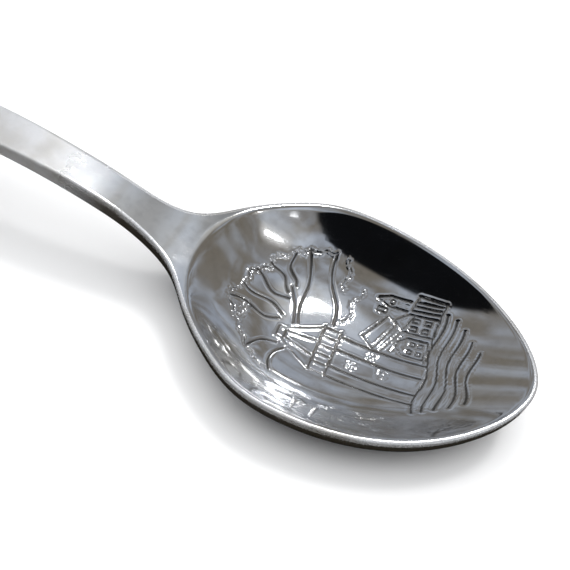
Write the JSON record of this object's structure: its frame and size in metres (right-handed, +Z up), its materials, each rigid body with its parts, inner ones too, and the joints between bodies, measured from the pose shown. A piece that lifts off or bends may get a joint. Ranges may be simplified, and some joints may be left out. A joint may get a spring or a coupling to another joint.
{
  "type": "souvenir spoon",
  "caption": "Silver-plated souvenir spoon with a lakeside scene in its bowl and a small enamelled badge on its stem.",
  "frame": {"origin": "on the table, under the middle of the spoon's overall box", "axes": "+X along the spoon towards the tip of the bowl, +Y across it, +Z up; the spoon lies bowl up"},
  "size_m": [0.115, 0.026, 0.015],
  "materials": {
    "silver_plate": "polished",
    "badge_silver": "polished",
    "enamel_light_blue": "gloss",
    "enamel_yellow": "gloss",
    "enamel_white": "gloss",
    "enamel_green": "gloss",
    "enamel_dark_blue": "gloss",
    "enamel_red": "gloss",
    "clear_resin": "clear"
  },
  "bodies": {
    "root": {"spoon_blank": "silver_plate", "badge_cup": "badge_silver", "badge_plaque": "badge_silver", "enamel_sky": "enamel_light_blue", "enamel_sun": "enamel_yellow", "enamel_mountain": "enamel_white", "enamel_hills": "enamel_green", "enamel_lake": "enamel_dark_blue", "enamel_mainsail": "enamel_white", "enamel_jib": "enamel_white", "enamel_hull": "enamel_red", "clear_dome": "clear_resin"}
  },
  "joints": []
}
